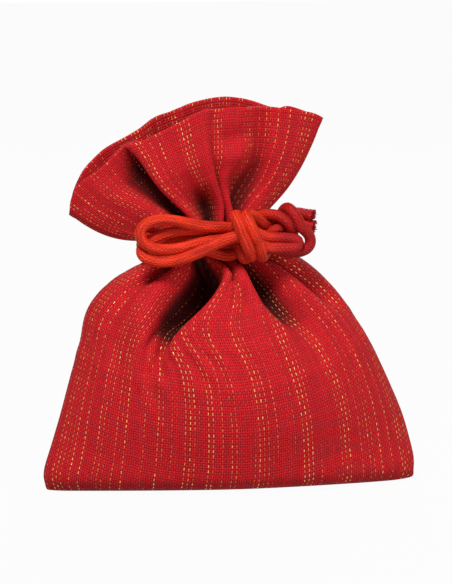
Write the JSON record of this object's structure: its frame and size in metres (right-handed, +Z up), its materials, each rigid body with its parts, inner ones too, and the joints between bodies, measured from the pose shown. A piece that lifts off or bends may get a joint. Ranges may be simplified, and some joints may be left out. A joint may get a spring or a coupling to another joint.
{
  "type": "drawstring pouch",
  "caption": "Small filled cloth drawstring pouch, tied shut at the neck with a doubled satin cord in a bow.",
  "frame": {"origin": "on the surface that the pouch stands on, under the middle of the bag", "axes": "+Z up, +X to the right and -Y to the front, the side with the bow"},
  "size_m": [0.113, 0.052, 0.1162],
  "materials": {
    "cloth": "red plain weave with gold metallic dashes",
    "cord": "orange-red satin cord"
  },
  "bodies": {
    "root": {"pouch": "cloth", "drawcord": "cord"}
  },
  "joints": []
}
